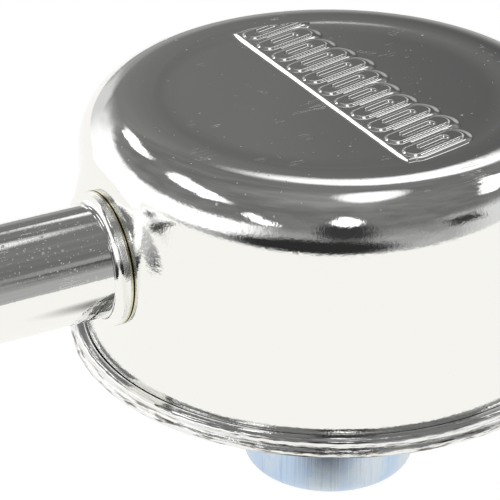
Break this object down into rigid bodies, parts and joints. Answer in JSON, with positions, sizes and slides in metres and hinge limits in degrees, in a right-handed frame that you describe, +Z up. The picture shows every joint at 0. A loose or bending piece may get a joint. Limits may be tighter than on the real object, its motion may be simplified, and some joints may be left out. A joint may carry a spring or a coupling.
{
  "type": "push-in crankcase breather",
  "caption": "Round chromed breather can with a ring filter inside, a push-in neck below and a side tube for a hose.",
  "frame": {"origin": "on the neck's axis, level with the underside of the can's rolled rim", "axes": "+Z up along the neck's axis towards the crown; -X along the hose tube, away from the can"},
  "size_m": [0.1061, 0.0762, 0.0598],
  "materials": {
    "chrome": "bright chrome plate with fine scratches and dust specks",
    "clear_zinc": "clear zinc plate, pale blue, with faint drawing lines",
    "yellow_zinc": "yellow zinc plate",
    "bare_steel": "bare sheet steel, lightly oiled",
    "seal_rubber": "matt black rubber",
    "gasket_fibre": "pressed fibre",
    "knitted_filter": "oiled knitted wire",
    "felt": "grey felt"
  },
  "bodies": {
    "root": {"cover_shell": "chrome", "base_plate": "chrome", "hose_tube": "chrome", "tube_collar": "chrome", "neck_tube": "clear_zinc", "baffle_rivets": "clear_zinc", "collar_washer": "yellow_zinc", "rim_seal": "seal_rubber", "neck_gasket": "gasket_fibre", "neck_screen": "bare_steel", "screen_snap_ring": "bare_steel", "splash_baffle": "bare_steel", "inner_saddle": "bare_steel", "tube_lock_ring": "bare_steel", "lower_end_ring": "bare_steel", "inner_screen": "bare_steel", "outer_screen": "bare_steel", "upper_end_plate": "bare_steel", "hold_down_spring": "bare_steel", "filter_element": "knitted_filter", "lower_felt": "felt", "upper_felt": "felt"}
  },
  "joints": []
}
